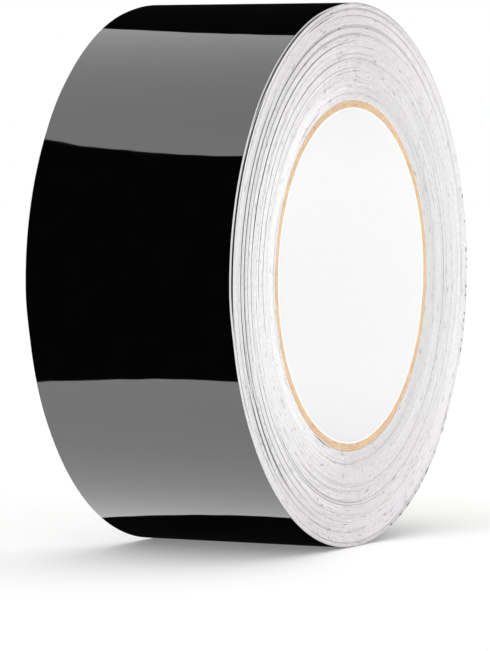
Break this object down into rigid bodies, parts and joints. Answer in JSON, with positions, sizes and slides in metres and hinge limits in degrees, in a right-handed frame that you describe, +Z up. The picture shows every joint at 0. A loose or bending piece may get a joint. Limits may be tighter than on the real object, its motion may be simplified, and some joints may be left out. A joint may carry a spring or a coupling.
{
  "type": "roll of sign vinyl",
  "caption": "Narrow roll of gloss black adhesive sign vinyl on paper liner, wound film side out on a spiral paperboard core, with a free tail that lifts and peels.",
  "frame": {"origin": "on the surface the roll stands on, under the middle of the roll's axis", "axes": "+X along the roll's axis, out of the side face that the picture shows; -Y the front of the standing roll; +Z up"},
  "size_m": [0.0508, 0.1243, 0.1241],
  "materials": {
    "film": "gloss",
    "adhesive": "satin",
    "liner": "matte",
    "turns": "matte",
    "board": "matte",
    "white_ply": "matte",
    "tape": "matte"
  },
  "bodies": {
    "wound_roll": {"core_inner_ply": "white_ply", "core_board_ply_1": "board", "core_board_ply_2": "board", "core_board_ply_3": "board", "core_board_ply_4": "board", "core_outer_ply": "board", "start_tape": "tape", "turns_inner": "turns", "turns_middle": "turns", "turns_outer": "turns", "outer_turn_liner": "liner", "outer_turn_adhesive": "adhesive", "outer_turn_film": "film"},
    "tail": {"tail_liner": "liner", "tail_adhesive": "adhesive", "tail_film": "film"},
    "peeled_film": {"peel_film": "film", "peel_adhesive": "adhesive", "end_tape_stuck_half": "tape"},
    "tape_tab": {"end_tape_tab": "tape"}
  },
  "joints": [
    {"name": "tail_lift", "type": "hinge", "parent": "wound_roll", "child": "tail", "pos_m": [0, 0.03343, 0.11448], "axis": [1, 0, 0], "range_deg": [0, 80]},
    {"name": "film_peel", "type": "hinge", "parent": "tail", "child": "peeled_film", "pos_m": [0, 0.06077, 0.07549], "axis": [1, 0, 0], "range_deg": [0, 90]},
    {"name": "tape_peel", "type": "hinge", "parent": "peeled_film", "child": "tape_tab", "pos_m": [0, 0.05757, 0.03817], "axis": [1, 0, 0], "range_deg": [0, 75]}
  ]
}
